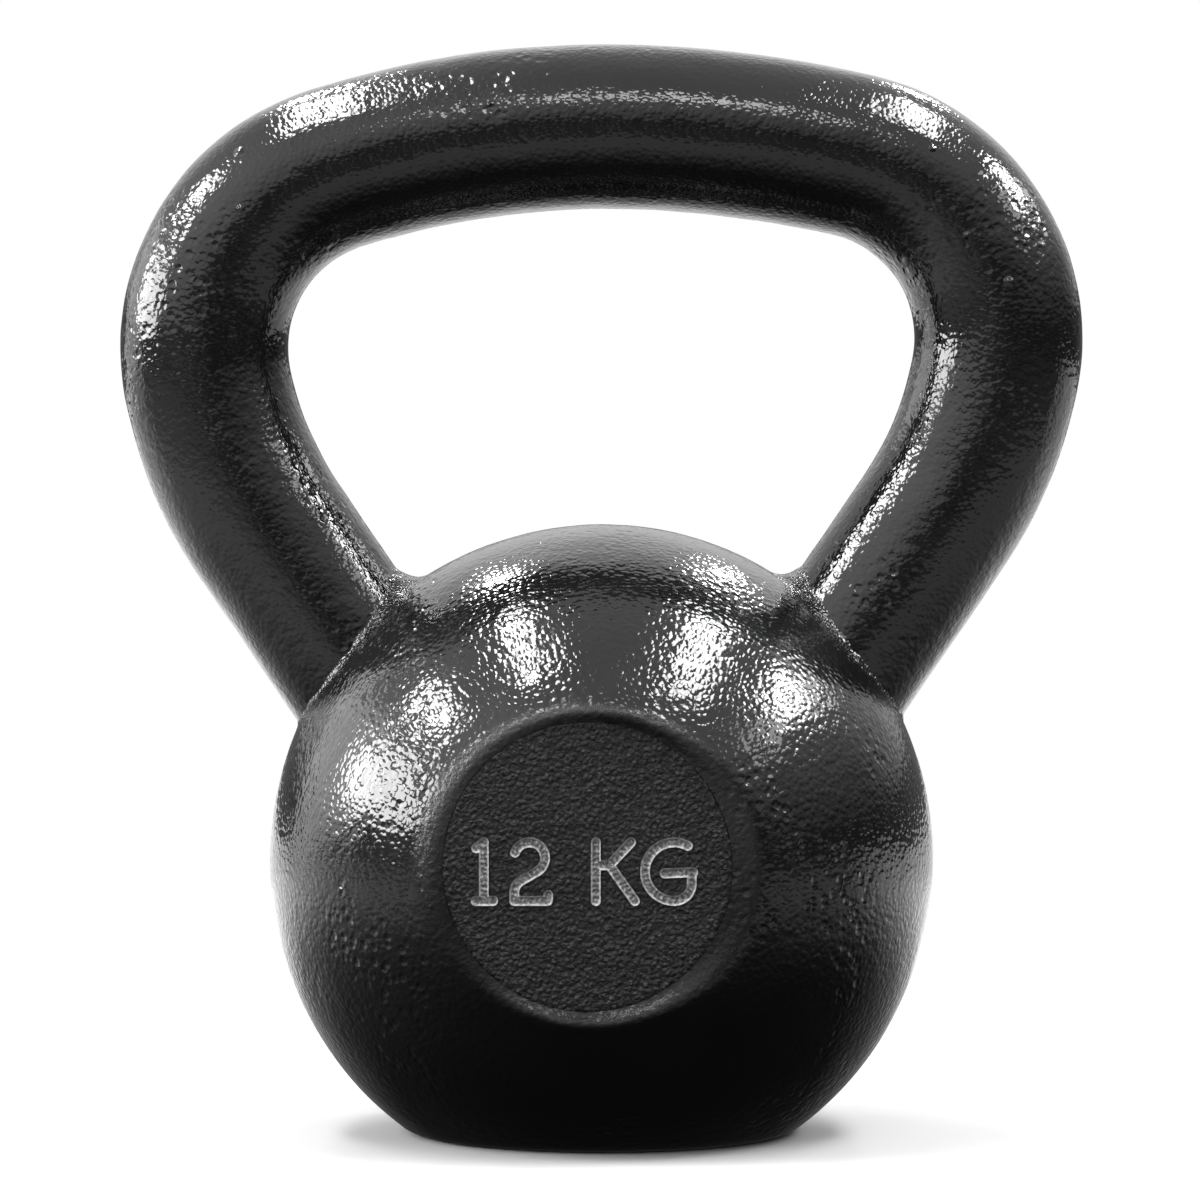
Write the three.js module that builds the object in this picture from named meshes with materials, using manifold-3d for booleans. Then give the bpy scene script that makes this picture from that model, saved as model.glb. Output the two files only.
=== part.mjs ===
// A 12 kg cast iron kettlebell: a solid ball with a flat foot, and a bent bar handle whose two tails are
// set in the ball and sealed with a bead of metal round each leg. A round plate is let into a shallow
// pocket in the front of the ball, and the weight is engraved in it in figures lined with pale grey.
//
// Millimetres, +Z up, front towards -Y. The origin is the middle of the flat foot.

import * as THREE from "three";
import { mergeVertices } from "three/addons/utils/BufferGeometryUtils.js";
import { ParametricGeometry } from "three/addons/geometries/ParametricGeometry.js";
import Module from "manifold-3d";

// Ball. It is a touch taller than it is wide.
const BALL_RADIUS = 69.1;
const BALL_TALLNESS = 1.008;
const FOOT_RADIUS = 40;
const FOOT_EDGE = 1.2;

// Handle: a round bar. Each side runs from the middle of the grip through a long grip arc, a corner and a
// leg bend into a straight leg. The left grip arc is a little rounder than the right one.
const BAR_DIAMETER = 34.4;
const HANDLE_WIDTH = 201;
const HAND_GAP = 65.8;
const GRIP_ARC_RADIUS = { left: 183, right: 238 };
const CORNER_RADIUS = 39.4;
const CORNER_END = THREE.MathUtils.degToRad(101.6);
const LEG_BEND_RADIUS = 84;
const LEG_SLOPE = THREE.MathUtils.degToRad(124.2);
const TAIL_LENGTH = 24;

// Bead of metal round each leg, widest on the side that faces the hand gap.
const BEAD_INNER = 5.2;
const BEAD_OUTER = 1.5;
const BEAD_HOLLOW = 0.35;

// Marking plate, its place sideways and up from the middle of the ball, and the mouth of its pocket.
const PLATE_RADIUS = 28.4;
const PLATE_THICKNESS = 4;
const PLATE_EDGE = 0.4;
const PLATE_OFFSET = { sideways: -2.8, up: 1.8 };
const PLATE_SETBACK = 0.7;
const MOUTH_SLOPE = 0.95;

// Engraved figures, drawn as grooves of one width with a thin lining on the floor of each.
const CAP_SHARE = 0.47;
const STROKE_WIDTH = 1.9;
const GROOVE_DEPTH = 0.9;
const LINING_THICKNESS = 0.4;
const LINING_MARGIN = 0.1;
const LINE_DROP = 1;

// Gap left between pieces that touch.
const CLEARANCE = 0.3;

const BALL_SEGMENTS = 60;
const BAR_SEGMENTS = 18;
const BAR_STEPS = 64;
const CAP_STEPS = 6;

const ballHalfHeight = BALL_RADIUS * BALL_TALLNESS;
const ballCentre = ballHalfHeight * Math.sqrt(1 - (FOOT_RADIUS / BALL_RADIUS) ** 2);
const barRadius = BAR_DIAMETER / 2;
const gripAxisHeight = ballCentre + ballHalfHeight + HAND_GAP + barRadius;
const halfSpan = HANDLE_WIDTH / 2 - barRadius;
const plateHeight = ballCentre + PLATE_OFFSET.up;
const capHeight = PLATE_RADIUS * CAP_SHARE;

const wasm = await Module();
wasm.setup();

function solidOf(geometry) {
  const bare = geometry.clone();
  bare.deleteAttribute("normal");
  bare.deleteAttribute("uv");
  const merged = mergeVertices(bare, 1e-3);
  return new wasm.Manifold(
    new wasm.Mesh({
      numProp: 3,
      vertProperties: new Float32Array(merged.attributes.position.array),
      triVerts: new Uint32Array(merged.index.array),
    }),
  );
}

function geometryOf(solid) {
  const mesh = solid.getMesh();
  const geometry = new THREE.BufferGeometry();
  geometry.setAttribute("position", new THREE.BufferAttribute(mesh.vertProperties, 3));
  geometry.setIndex(new THREE.BufferAttribute(mesh.triVerts, 1));
  geometry.computeVertexNormals();
  return geometry;
}

// How far along a ray it leaves the ball, with the ball grown by `grow` all round.
function ballExit(from, way, grow = 0) {
  const reach = new THREE.Vector3(BALL_RADIUS + grow, BALL_RADIUS + grow, ballHalfHeight + grow);
  const p = from.clone().sub(new THREE.Vector3(0, 0, ballCentre)).divide(reach);
  const w = way.clone().divide(reach);
  const a = w.dot(w);
  const b = p.dot(w);
  const c = p.dot(p) - 1;
  return (-b + Math.sqrt(b * b - a * c)) / a;
}

// The outward direction of the ball's skin at a point on it.
function ballNormal(point) {
  return new THREE.Vector3(
    point.x / BALL_RADIUS ** 2,
    point.y / BALL_RADIUS ** 2,
    (point.z - ballCentre) / ballHalfHeight ** 2,
  ).normalize();
}

// One side of the handle's centreline, from the middle of the grip outwards and down, as tangent arcs and a
// straight leg. `heading` is the angle it has turned down from level.
class HandleSide {
  constructor(gripArcRadius) {
    const gripTurn = Math.asin((halfSpan - CORNER_RADIUS) / (gripArcRadius - CORNER_RADIUS));
    this.bends = [
      { radius: gripArcRadius, turn: gripTurn },
      { radius: CORNER_RADIUS, turn: CORNER_END - gripTurn },
      { radius: LEG_BEND_RADIUS, turn: LEG_SLOPE - CORNER_END },
    ];
    const bentLength = this.bends.reduce((sum, bend) => sum + bend.radius * bend.turn, 0);
    const knee = this.at(bentLength);
    this.legWay = new THREE.Vector3(Math.cos(LEG_SLOPE), 0, -Math.sin(LEG_SLOPE));
    const legLength = -ballExit(knee, this.legWay.clone().negate());
    this.foot = knee.addScaledVector(this.legWay, legLength);
    this.length = bentLength + legLength + TAIL_LENGTH;
  }

  // The point a distance along this side.
  at(distance) {
    let x = 0;
    let z = gripAxisHeight;
    let heading = 0;
    let left = distance;
    for (const { radius, turn } of this.bends) {
      const turned = Math.min(turn, left / radius);
      x += radius * (Math.sin(heading + turned) - Math.sin(heading));
      z += radius * (Math.cos(heading + turned) - Math.cos(heading));
      heading += turned;
      left -= turned * radius;
    }
    return new THREE.Vector3(x + left * Math.cos(heading), 0, z - left * Math.sin(heading));
  }
}

// The whole centreline, from the end of the left tail to the end of the right one.
class HandleCurve extends THREE.Curve {
  constructor(left, right) {
    super();
    this.left = left;
    this.right = right;
  }

  getPoint(t, target = new THREE.Vector3()) {
    const distance = t * (this.left.length + this.right.length) - this.left.length;
    if (distance >= 0) return target.copy(this.right.at(distance));
    return target.copy(this.left.at(-distance)).multiply(new THREE.Vector3(-1, 1, 1));
  }
}

const leftSide = new HandleSide(GRIP_ARC_RADIUS.left);
const rightSide = new HandleSide(GRIP_ARC_RADIUS.right);

function handleGeometry() {
  const section = new THREE.Shape().absarc(0, 0, barRadius, 0, 2 * Math.PI);
  return new THREE.ExtrudeGeometry(section, {
    steps: BAR_STEPS,
    curveSegments: BAR_SEGMENTS,
    bevelEnabled: false,
    extrudePath: new HandleCurve(leftSide, rightSide),
  });
}

// A socket for one tail: a plain round bar from outside the ball to just past the tail's end.
function socketGeometry(side, mirror) {
  const reach = 2 * barRadius;
  const start = side.foot.clone().addScaledVector(side.legWay, -reach);
  const end = side.foot.clone().addScaledVector(side.legWay, TAIL_LENGTH + CLEARANCE);
  start.x *= mirror;
  end.x *= mirror;
  const radius = (barRadius + CLEARANCE) / Math.cos(Math.PI / (2 * BAR_SEGMENTS));
  const bar = new THREE.CylinderGeometry(radius, radius, start.distanceTo(end), 2 * BAR_SEGMENTS);
  const up = new THREE.Vector3(0, 1, 0);
  bar.applyQuaternion(new THREE.Quaternion().setFromUnitVectors(up, end.clone().sub(start).normalize()));
  return bar.translate(...start.add(end).multiplyScalar(0.5).toArray());
}

// How far the ball's skin is in front of its axis, straight ahead of a point in the plate's plane.
function skinAhead(sideways, up) {
  return BALL_RADIUS * Math.sqrt(1 - (sideways / BALL_RADIUS) ** 2 - (up / ballHalfHeight) ** 2);
}

// The plate's face lies a little behind the nearest point of the ball's skin round the edge of its seat.
const seatRadius = PLATE_RADIUS + CLEARANCE;
const edgeSkin = new THREE.EllipseCurve(PLATE_OFFSET.sideways, PLATE_OFFSET.up, seatRadius, seatRadius)
  .getPoints(BALL_SEGMENTS)
  .map((point) => skinAhead(point.x, point.y));
const plateFace = Math.min(...edgeSkin) - PLATE_SETBACK;
const plateBack = plateFace - PLATE_THICKNESS;

// A turned piece about the plate's own line, from points of (radius, distance in front of the ball's axis).
function turnedAboutPlateLine(points) {
  const profile = points.map(([radius, front]) => new THREE.Vector2(radius, -front));
  return new THREE.LatheGeometry(profile, BALL_SEGMENTS).translate(PLATE_OFFSET.sideways, 0, plateHeight);
}

// The pocket: a round seat for the plate with a flared mouth that runs out past the ball's skin.
function pocketGeometry() {
  const beyond = BALL_RADIUS - plateFace + 1;
  return turnedAboutPlateLine([
    [0, plateFace + beyond],
    [seatRadius + beyond * MOUTH_SLOPE, plateFace + beyond],
    [seatRadius, plateFace],
    [seatRadius, plateBack - CLEARANCE],
    [0, plateBack - CLEARANCE],
  ]);
}

// The ball's outline from the middle of the foot up to its top, turned about Z.
function ballGeometry() {
  const footAngle = Math.acos((FOOT_EDGE - ballCentre) / ballHalfHeight);
  const steps = BALL_SEGMENTS / 2 - 4;
  const profile = [new THREE.Vector2(0, 0), new THREE.Vector2(FOOT_RADIUS - FOOT_EDGE, 0)];
  for (let i = steps; i > 0; i--) {
    const angle = (footAngle * i) / steps;
    profile.push(
      new THREE.Vector2(BALL_RADIUS * Math.sin(angle), ballCentre + ballHalfHeight * Math.cos(angle)),
    );
  }
  profile.push(new THREE.Vector2(0, ballCentre + ballHalfHeight));
  const whole = solidOf(new THREE.LatheGeometry(profile, BALL_SEGMENTS).rotateX(Math.PI / 2));
  return geometryOf(
    whole
      .subtract(solidOf(pocketGeometry()))
      .subtract(solidOf(socketGeometry(leftSide, -1)))
      .subtract(solidOf(socketGeometry(rightSide, 1))),
  );
}

// The bead round one leg: a hollow-faced, three-cornered ring in the corner between leg and ball. It is
// swept round the leg from the side that faces the hand gap.
function beadGeometry(side, mirror) {
  const inward = new THREE.Vector3(side.legWay.z, 0, -side.legWay.x);
  const upLeg = side.legWay.clone().negate();
  const centre = new THREE.Vector3(0, 0, ballCentre);

  function section(angle) {
    const out = inward.clone().multiplyScalar(Math.cos(angle));
    out.y = Math.sin(angle);
    const size = BEAD_OUTER + (BEAD_INNER - BEAD_OUTER) * ((1 + Math.cos(angle)) / 2) ** 2;
    const onBar = side.foot.clone().addScaledVector(out, barRadius + CLEARANCE);
    const root = onBar.addScaledVector(upLeg, ballExit(onBar, upLeg, CLEARANCE));
    const onLeg = root.clone().addScaledVector(upLeg, size);
    const normal = ballNormal(root);
    const away = out.addScaledVector(normal, -out.dot(normal)).normalize();
    const ray = root.clone().addScaledVector(away, size).sub(centre).normalize();
    const onBall = centre.clone().addScaledVector(ray, ballExit(centre, ray, CLEARANCE));
    const middle = onLeg.clone().add(onBall).multiplyScalar(0.5).lerp(root, BEAD_HOLLOW);
    return [root, onLeg, middle, onBall, root];
  }

  const sweep = (u, v, target) => {
    target.copy(section(mirror * 2 * Math.PI * u)[Math.round(v * 4)]);
    target.x *= mirror;
  };
  return new ParametricGeometry(sweep, 2 * BAR_SEGMENTS, 4);
}

// Strokes of each figure, from its own middle, in shares of the height between its top and bottom strokes.
const line = (...points) => points.map(([x, y]) => new THREE.Vector2(x, y));
const arc = (x, y, radius, from, to, count) => {
  const [start, end] = [from, to].map(THREE.MathUtils.degToRad);
  return new THREE.EllipseCurve(x, y, radius, radius, start, end, to < from).getPoints(count);
};

const FIGURES = {
  digit_one: {
    x: -1.765,
    strokes: [
      line([0, 0.5], [0, -0.5]),
      line([-0.13, 0.4], [0, 0.5]),
      line([-0.14, -0.5], [0.16, -0.5]),
    ],
  },
  digit_two: {
    x: -0.965,
    strokes: [
      [...arc(-0.02, 0.235, 0.265, 160, -60, 12), ...arc(-0.06, -0.35, 0.22, 120, 180, 4)],
      line([-0.28, -0.35], [-0.28, -0.5]),
      line([-0.28, -0.5], [0.29, -0.5]),
      line([0.29, -0.5], [0.3, -0.4]),
    ],
  },
  letter_k: {
    x: 0.461,
    strokes: [
      line([-0.314, 0.5], [-0.314, -0.5]),
      line([-0.314, 0.11], [-0.08, 0.11]),
      line([-0.08, 0.11], [0.285, 0.5]),
      line([-0.08, 0.11], [0.353, -0.5]),
    ],
  },
  letter_g: {
    x: 1.4,
    strokes: [
      [...arc(0.085, 0, 0.5, 62, 270, 16), ...arc(0.085, -0.2, 0.3, 285, 360, 5)],
      line([0.385, -0.2], [0.385, -0.02]),
      line([0.41, -0.01], [-0.078, -0.03]),
    ],
  },
};

// The outline of a smooth stroke: along one side, round the end, back along the other, round the start.
function strokeOutline(points, radius) {
  const last = points.length - 1;
  const ways = points.map((_, i) => {
    const before = points[Math.max(i - 1, 0)];
    const after = points[Math.min(i + 1, last)];
    return after.clone().sub(before).angle();
  });
  const beside = (i, angle) =>
    new THREE.Vector2(Math.cos(angle), Math.sin(angle)).multiplyScalar(radius).add(points[i]);
  const outline = points.map((_, i) => beside(i, ways[i] - Math.PI / 2));
  for (let i = 1; i < CAP_STEPS; i++) {
    outline.push(beside(last, ways[last] + Math.PI * (i / CAP_STEPS - 0.5)));
  }
  for (let i = last; i >= 0; i--) outline.push(beside(i, ways[i] + Math.PI / 2));
  for (let i = 1; i < CAP_STEPS; i++) {
    outline.push(beside(0, ways[0] + Math.PI * (i / CAP_STEPS + 0.5)));
  }
  return outline;
}

// A figure as one solid, its strokes `width` wide, from `back` to `front` ahead of the ball's axis.
function figureGeometry({ x, strokes }, width, back, front) {
  const scale = capHeight - STROKE_WIDTH;
  const solids = strokes.map((points) => {
    const drawn = points.map((point) => point.clone().multiplyScalar(scale));
    const shape = new THREE.Shape(strokeOutline(drawn, width / 2));
    return solidOf(new THREE.ExtrudeGeometry(shape, { depth: front - back, bevelEnabled: false }));
  });
  return geometryOf(solids.reduce((sum, solid) => sum.add(solid)))
    .rotateX(Math.PI / 2)
    .translate(PLATE_OFFSET.sideways + x * scale, -back, plateHeight - LINE_DROP);
}

const grooveFloor = plateFace - GROOVE_DEPTH;

function plateGeometry() {
  const disc = turnedAboutPlateLine([
    [0, plateFace],
    [PLATE_RADIUS - PLATE_EDGE, plateFace],
    [PLATE_RADIUS, plateFace - PLATE_EDGE],
    [PLATE_RADIUS, plateBack],
    [0, plateBack],
  ]);
  const grooves = Object.values(FIGURES).map((figure) =>
    solidOf(figureGeometry(figure, STROKE_WIDTH, grooveFloor, plateFace + 1)),
  );
  return geometryOf(grooves.reduce((plate, groove) => plate.subtract(groove), solidOf(disc)));
}

function liningGeometry(figure) {
  const width = STROKE_WIDTH - 2 * LINING_MARGIN;
  return figureGeometry(figure, width, grooveFloor, grooveFloor + LINING_THICKNESS);
}

const enamel = new THREE.MeshStandardMaterial({ color: 0x0b0b0c, roughness: 0.22, metalness: 0 });
const roughEnamel = new THREE.MeshStandardMaterial({ color: 0x121213, roughness: 0.5, metalness: 0 });
const paleLining = new THREE.MeshStandardMaterial({ color: 0x8a8a87, roughness: 0.45, metalness: 0.2 });

const kettlebell = new THREE.Group();

function addPiece(name, geometry, material) {
  const mesh = new THREE.Mesh(geometry, material.clone());
  mesh.name = name;
  kettlebell.add(mesh);
}

addPiece("ball", ballGeometry(), enamel);
addPiece("handle", handleGeometry(), enamel);
addPiece("left_foot_bead", beadGeometry(leftSide, -1), enamel);
addPiece("right_foot_bead", beadGeometry(rightSide, 1), enamel);
addPiece("marking_plate", plateGeometry(), roughEnamel);
for (const [name, figure] of Object.entries(FIGURES)) {
  addPiece(name, liningGeometry(figure), paleLining);
}

export default kettlebell;
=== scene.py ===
"""A 12 kg cast iron kettlebell in glossy black enamel, standing in a plain studio.

Metres, +Z up, front towards -Y. The origin is the middle of the flat foot.
"""

import itertools
import math

import bpy
import numpy as np
from bpy.props import FloatProperty, FloatVectorProperty, PointerProperty
from bpy.types import Operator, Panel, PropertyGroup
from mathutils import Matrix, Vector


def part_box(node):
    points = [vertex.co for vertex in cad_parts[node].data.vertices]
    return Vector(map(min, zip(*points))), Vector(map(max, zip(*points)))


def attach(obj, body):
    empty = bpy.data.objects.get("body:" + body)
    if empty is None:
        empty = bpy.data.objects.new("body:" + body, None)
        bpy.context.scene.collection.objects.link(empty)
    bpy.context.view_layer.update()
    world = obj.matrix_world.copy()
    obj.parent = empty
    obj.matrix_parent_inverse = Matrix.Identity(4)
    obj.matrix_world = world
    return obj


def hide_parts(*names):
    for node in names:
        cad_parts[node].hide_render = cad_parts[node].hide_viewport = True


bl_info = {
    "name": "Cast Iron Kettlebell",
    "version": (1, 0, 0),
    "blender": (4, 5, 0),
    "location": "View3D > Sidebar > Kettlebell",
    "description": "Builds a cast iron kettlebell in black enamel and a plain studio to show it in",
    "category": "Add Mesh",
}

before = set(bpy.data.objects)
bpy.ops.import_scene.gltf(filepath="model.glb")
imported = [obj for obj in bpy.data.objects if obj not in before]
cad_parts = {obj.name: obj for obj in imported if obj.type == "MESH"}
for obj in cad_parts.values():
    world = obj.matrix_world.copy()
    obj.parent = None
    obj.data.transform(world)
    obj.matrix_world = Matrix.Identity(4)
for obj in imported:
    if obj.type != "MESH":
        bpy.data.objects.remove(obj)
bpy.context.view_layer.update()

MM = 0.001
BALL_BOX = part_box("ball")
HANDLE_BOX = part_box("handle")
PLATE_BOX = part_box("marking_plate")

# The ball is slightly taller than it is wide.
BALL_TALLNESS = 1.008


# ----------------------------------------------------------
# Sizes and colours
# ----------------------------------------------------------


def length(name, description, default):
    return FloatProperty(
        name=name, description=description, default=default, min=0, unit="LENGTH", precision=5
    )


def angle(name, description, degrees):
    return FloatProperty(name=name, description=description, default=math.radians(degrees), subtype="ANGLE")


def share(name, description, default):
    return FloatProperty(name=name, description=description, default=default, min=0, max=2)


def colour(name, description, default):
    return FloatVectorProperty(
        name=name, description=description, default=default, size=3, min=0, max=1, subtype="COLOR"
    )


class BallSettings(PropertyGroup):
    radius: length("Radius", "Half the ball's width", BALL_BOX[1].x)
    half_height: length("Half height", "From the ball's middle to its top", BALL_BOX[1].x * BALL_TALLNESS)
    top: length("Top", "Height of the ball's top above the floor", BALL_BOX[1].z)
    foot_edge: length("Foot edge", "How far the rounding at the rim of the foot reaches", 1.6 * MM)
    mouth_edge: length("Mouth edge", "How far the rounding at the mouth of the pocket reaches", 1.5 * MM)
    swell: length("Swell", "Height of the slow unevenness of the casting", 0.2 * MM)
    peel: length("Peel", "Height of the orange peel that shows as shape", 0.022 * MM)
    enamel: colour("Enamel", "Colour of the enamel on the ball", (0.004, 0.004, 0.0042))


class HandleSettings(PropertyGroup):
    bar_radius: length("Bar radius", "Half the bar's thickness at the grip", 17.1 * MM)
    leg_radius: length("Leg radius", "Half the bar's thickness at the legs", 17.5 * MM)
    width: length("Width", "Across both shoulders of the handle", HANDLE_BOX[1].x * 2)
    top: length("Top", "Height of the top of the grip", HANDLE_BOX[1].z)
    left_grip_arc: length("Left grip arc", "Radius of the grip's arc towards the left", 183 * MM)
    right_grip_arc: length("Right grip arc", "Radius of the grip's arc towards the right", 238 * MM)
    corner: length("Corner", "Radius of the corner", 39.4 * MM)
    corner_end: angle("Corner end", "How far the bar has turned down where the corner ends", 101.6)
    leg_bend: length("Leg bend", "Radius of the bend from corner to leg", 84 * MM)
    leg_slope: angle("Leg slope", "How far the straight leg has turned down from level", 124.2)
    tail: length("Tail", "Length of bar inside the ball", 24 * MM)
    swell: length("Swell", "Height of the slow unevenness of the bar", 0.16 * MM)
    peel: length("Peel", "Height of the orange peel that shows as shape", 0.022 * MM)
    enamel: colour("Enamel", "Colour of the enamel on the handle", (0.004, 0.004, 0.0042))


class BeadSettings(PropertyGroup):
    inner: length("Inner size", "Reach of the bead on the side that faces the hand gap", 7.2 * MM)
    outer: length("Outer size", "Reach of the bead on the far side", 1.2 * MM)
    skirt: length("Skirt", "How much further the bead spreads over the ball than up the leg", 1.4 * MM)
    lumpiness: length("Lumpiness", "Height of the lumps along the bead", 0.35 * MM)


class MarkingSettings(PropertyGroup):
    radius: length("Plate radius", "Radius of the marking plate", (PLATE_BOX[1].x - PLATE_BOX[0].x) / 2)
    grain: length("Grain", "Height of the sand-cast grain on the plate", 0.16 * MM)
    cap_height: length("Figure height", "Height of the engraved figures", 13.35 * MM)
    stroke: length("Stroke", "Width of the engraved strokes", 1.9 * MM)
    cut: length("Cut", "Depth of the engraved strokes", 0.5 * MM)
    chatter: length("Chatter", "Height of the ripples that the cutter left", 0.09 * MM)
    drop: length("Drop", "How far the line of figures is below the middle of the plate", 1 * MM)
    plate_enamel: colour("Plate enamel", "Colour of the enamel on the plate", (0.006, 0.006, 0.006))
    # The figure edge colour is a painted highlight along the rim of each stroke, lighter than its floor.
    figure_edge_highlight: colour("Figure edge", "Colour of the bright edge of each stroke", (0.4, 0.4, 0.395))
    figure_floor: colour("Figure floor", "Colour of the floor of each stroke", (0.1, 0.1, 0.1))


class StudioSettings(PropertyGroup):
    camera_distance: length("Camera distance", "From the camera to the middle of the object", 0.935)
    camera_height: length("Camera height", "Height of the camera", 0.1107)
    camera_side: FloatProperty(
        name="Camera side",
        description="Camera's place, to the right of the object's middle",
        default=-0.3 * MM,
        unit="LENGTH",
        precision=5,
    )
    field: length("Field", "Width that the picture takes in at the object", 0.2508)
    floor: colour("Floor", "Colour of the floor", (0.42, 0.42, 0.42))
    lamps: share("Lamps", "Strength of all the lamps", 1)


SETTINGS = {
    "kettlebell_ball": BallSettings,
    "kettlebell_handle": HandleSettings,
    "kettlebell_bead": BeadSettings,
    "kettlebell_marking": MarkingSettings,
    "kettlebell_studio": StudioSettings,
}


# ----------------------------------------------------------
# Shaping
# ----------------------------------------------------------


# Numbers that mix a cell's three coordinates, and a seed's three shifts of the cells.
CELL_MIX = np.array((73856093, 19349663, 83492791))
SEED_SHIFT = np.array((19.19, 7.31, 3.77))


def lumps(points, size, seed):
    """Smooth lumps about `size` across, from about -1 to 1, at each point."""
    grid = points / size + seed * SEED_SHIFT
    cell = np.floor(grid).astype(np.int64)
    inside = grid - cell
    ease = inside**3 * (inside * (inside * 6 - 15) + 10)
    total = np.zeros(len(points))
    for corner in itertools.product((0, 1), repeat=3):
        mixed = (cell + corner) @ CELL_MIX
        mixed = (mixed ^ (mixed >> 13)) * 1274126177 & 0x7FFFFFFF
        slope = np.stack([(mixed >> shift & 255) / 127.5 - 1 for shift in (3, 11, 19)], axis=1)
        weight = np.where(corner, ease, 1 - ease).prod(axis=1)
        total += weight * (slope * (inside - corner)).sum(axis=1)
    return total * 1.7


def soft_min(a, b, reach):
    """The lower of a and b, rounded over where they are within `reach` of each other."""
    near = np.maximum(reach - np.abs(a - b), 0) / reach
    return np.minimum(a, b) - near**2 * reach / 4


def make_piece(name, points, faces, material, smooth_under=40):
    """A named mesh object, smooth except at edges sharper than `smooth_under` degrees."""
    mesh = bpy.data.meshes.new(name)
    mesh.from_pydata(np.asarray(points).tolist(), [], [list(map(int, face)) for face in faces])
    mesh.update()
    mesh.materials.append(material)
    piece = bpy.data.objects.new(name, mesh)
    bpy.context.scene.collection.objects.link(piece)
    finish_shading(piece, smooth_under)
    return piece


def finish_shading(piece, smooth_under):
    piece.data.polygons.foreach_set("use_smooth", [True] * len(piece.data.polygons))
    piece.data.set_sharp_from_angle(angle=math.radians(smooth_under))


def tube_faces(rings, around, closed=False):
    """Quads between `rings` rings of `around` points, and from the last ring to the first if closed."""
    ring, step = np.meshgrid(np.arange(rings if closed else rings - 1), np.arange(around), indexing="ij")
    after, following = (ring + 1) % rings, (step + 1) % around
    corners = (ring * around + step, ring * around + following)
    corners += (after * around + following, after * around + step)
    return np.stack([corner.ravel() for corner in corners], axis=1)


def cut_away(piece, cutters):
    """Cuts each cutter's shape out of the piece, and throws the cutters away."""
    for cutter in cutters:
        cut = piece.modifiers.new(cutter.name, "BOOLEAN")
        cut.operation = "DIFFERENCE"
        cut.solver = "MANIFOLD"
        cut.object = cutter
    faces_before = len(piece.data.polygons)
    evaluated = piece.evaluated_get(bpy.context.evaluated_depsgraph_get())
    mesh = bpy.data.meshes.new_from_object(evaluated)
    if len(mesh.polygons) < faces_before / 2:
        raise RuntimeError(f"cutting {piece.name} lost most of it")
    piece.modifiers.clear()
    piece.data = mesh
    for cutter in cutters:
        bpy.data.objects.remove(cutter)


def round_bar(name, start, end, radius, around=96):
    """A plain closed round bar between two points, to cut with."""
    start, end = np.array(start, float), np.array(end, float)
    way = (end - start) / np.linalg.norm(end - start)
    side = np.cross(way, (0, 0, 1) if abs(way[2]) < 0.9 else (1, 0, 0))
    side /= np.linalg.norm(side)
    other = np.cross(way, side)
    turn = np.linspace(0, 2 * math.pi, around, endpoint=False)[:, None]
    ring = radius * (np.cos(turn) * side + np.sin(turn) * other)
    faces = [*tube_faces(2, around), range(around - 1, -1, -1), range(around, 2 * around)]
    return make_piece(name, np.concatenate([start + ring, end + ring]), faces, None)


# ----------------------------------------------------------
# Where things are
# ----------------------------------------------------------


def ball_middle():
    ball = bpy.context.scene.kettlebell_ball
    return np.array((0, 0, ball.top - ball.half_height))


def ball_reach(grow=0):
    ball = bpy.context.scene.kettlebell_ball
    return np.array((ball.radius, ball.radius, ball.half_height)) + grow


def leave_ball(points, ways, grow=0):
    """How far along each way a line from each point leaves the ball grown by `grow`."""
    p = (points - ball_middle()) / ball_reach(grow)
    w = ways / ball_reach(grow)
    a, b, c = (w * w).sum(-1), (p * w).sum(-1), (p * p).sum(-1) - 1
    return (np.sqrt(b * b - a * c) - b) / a


def ball_normals(points):
    normals = (points - ball_middle()) / ball_reach() ** 2
    return normals / np.linalg.norm(normals, axis=-1, keepdims=True)


class HandleSide:
    """One side of the handle's centreline, from the middle of the grip outwards and down."""

    def __init__(self, mirror):
        handle = bpy.context.scene.kettlebell_handle
        self.mirror = mirror
        self.grip_height = handle.top - handle.bar_radius
        reach = handle.width / 2 - handle.leg_radius - handle.corner
        grip_arc = handle.left_grip_arc if mirror < 0 else handle.right_grip_arc
        grip_turn = math.asin(reach / (grip_arc - handle.corner))
        self.bends = (
            (grip_arc, grip_turn),
            (handle.corner, handle.corner_end - grip_turn),
            (handle.leg_bend, handle.leg_slope - handle.corner_end),
        )
        bent = sum(radius * turn for radius, turn in self.bends)
        knee = self.at(np.array([bent]))[0][0] * (mirror, 1, 1)
        self.leg_way = np.array((math.cos(handle.leg_slope), 0, -math.sin(handle.leg_slope)))
        leg = -leave_ball(knee, -self.leg_way)
        self.foot = knee + leg * self.leg_way
        self.foot_distance = bent + leg
        self.length = self.foot_distance + handle.tail

    def at(self, distance):
        """Points on the centreline at these distances, and how far it has turned down there."""
        x, z = np.zeros_like(distance), np.full_like(distance, self.grip_height)
        heading, left = np.zeros_like(distance), distance.copy()
        for radius, turn in self.bends:
            turned = np.clip(left / radius, 0, turn)
            x += radius * (np.sin(heading + turned) - np.sin(heading))
            z += radius * (np.cos(heading + turned) - np.cos(heading))
            heading += turned
            left -= turned * radius
        x += left * np.cos(heading)
        z -= left * np.sin(heading)
        return np.stack([x * self.mirror, np.zeros_like(x), z], axis=1), heading


def plate_middle():
    low, high = PLATE_BOX
    return (low.x + high.x) / 2, (low.z + high.z) / 2


def plate_face():
    return -PLATE_BOX[0].y


# ----------------------------------------------------------
# Finishes
# ----------------------------------------------------------


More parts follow.
